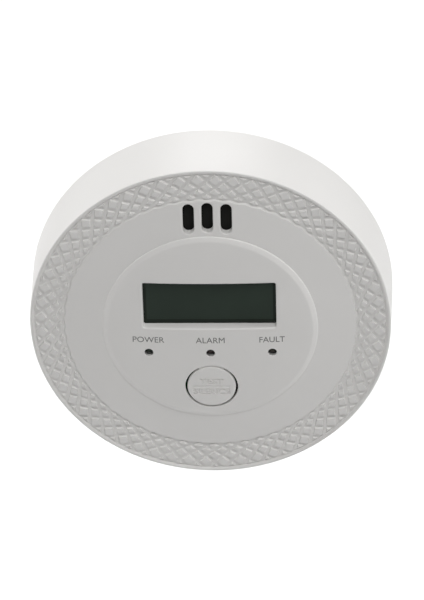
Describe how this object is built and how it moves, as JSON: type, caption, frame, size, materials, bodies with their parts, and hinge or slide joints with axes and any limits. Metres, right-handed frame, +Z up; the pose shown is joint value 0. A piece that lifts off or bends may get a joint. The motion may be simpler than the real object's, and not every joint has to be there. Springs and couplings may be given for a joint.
{
  "type": "carbon monoxide detector",
  "caption": "Round battery carbon monoxide alarm with a display, test button, sounder slots and a twist-off wall plate.",
  "frame": {"origin": "centre of the wall plate's back, which lies on the wall plane", "axes": "+Z up, +X to the right as seen from the front, the face looks towards -Y and the wall is at Y = 0"},
  "size_m": [0.105, 0.0358, 0.105],
  "materials": {
    "white_moulding": "fine satin moulded ABS",
    "black_moulding": "matt moulded plastic",
    "clear_moulding": "milky polished acrylic",
    "brown_moulding": "moulded",
    "display_glass": "polished, dark green when off",
    "green_lens": "tinted clear epoxy",
    "red_lens": "tinted clear epoxy",
    "yellow_lens": "tinted clear epoxy",
    "board_laminate": "green solder resist",
    "plated_steel": "bright plated",
    "aluminium_can": "drawn",
    "brass_disc": "rolled",
    "cell_jacket": "plain printed sleeve",
    "black_felt": "thin felt"
  },
  "bodies": {
    "wall_plate": {"mounting_plate": "white_moulding"},
    "alarm": {"front_cover": "white_moulding", "rear_cover": "white_moulding", "battery_1": "cell_jacket", "battery_2": "cell_jacket", "battery_3": "cell_jacket", "battery_springs": "plated_steel", "contact_plates": "plated_steel", "main_board": "board_laminate", "lcd_glass": "display_glass", "lcd_holder": "black_moulding", "lcd_backlight": "clear_moulding", "lcd_pins": "plated_steel", "led_power": "green_lens", "led_alarm": "red_lens", "led_fault": "yellow_lens", "led_spacers": "black_moulding", "switch_body": "black_moulding", "sounder_case": "black_moulding", "sounder_disc": "brass_disc", "dust_felt": "black_felt", "co_sensor": "plated_steel", "sensor_membrane": "white_moulding", "microcontroller": "black_moulding", "capacitor": "aluminium_can", "booster_coil": "black_moulding", "chip_parts": "black_moulding", "case_screws": "plated_steel", "board_screws": "plated_steel"},
    "button": {"test_button": "white_moulding"},
    "plunger": {"switch_plunger": "brown_moulding"},
    "door": {"battery_door": "white_moulding"}
  },
  "joints": [
    {"name": "bayonet_twist", "type": "hinge", "parent": "wall_plate", "child": "alarm", "pos_m": [0, 0, 0], "axis": [0, -1, 0], "range_deg": [0, 15]},
    {"name": "button_press", "type": "hinge", "parent": "alarm", "child": "button", "pos_m": [0, -0.034, -0.01215], "axis": [1, 0, 0], "range_deg": [0, 2.3], "stiffness_Nm_per_rad": 0.5},
    {"name": "plunger_travel", "type": "slide", "parent": "alarm", "child": "plunger", "axis": [0, 1, 0], "range_m": [0, 0.00031]},
    {"name": "door_slide", "type": "slide", "parent": "alarm", "child": "door", "axis": [0, 0, -1], "range_m": [0, 0.005]}
  ],
  "couplings": [
    {"joint": "plunger_travel", "follows": "button_press", "m_per_rad": 0.00755}
  ]
}
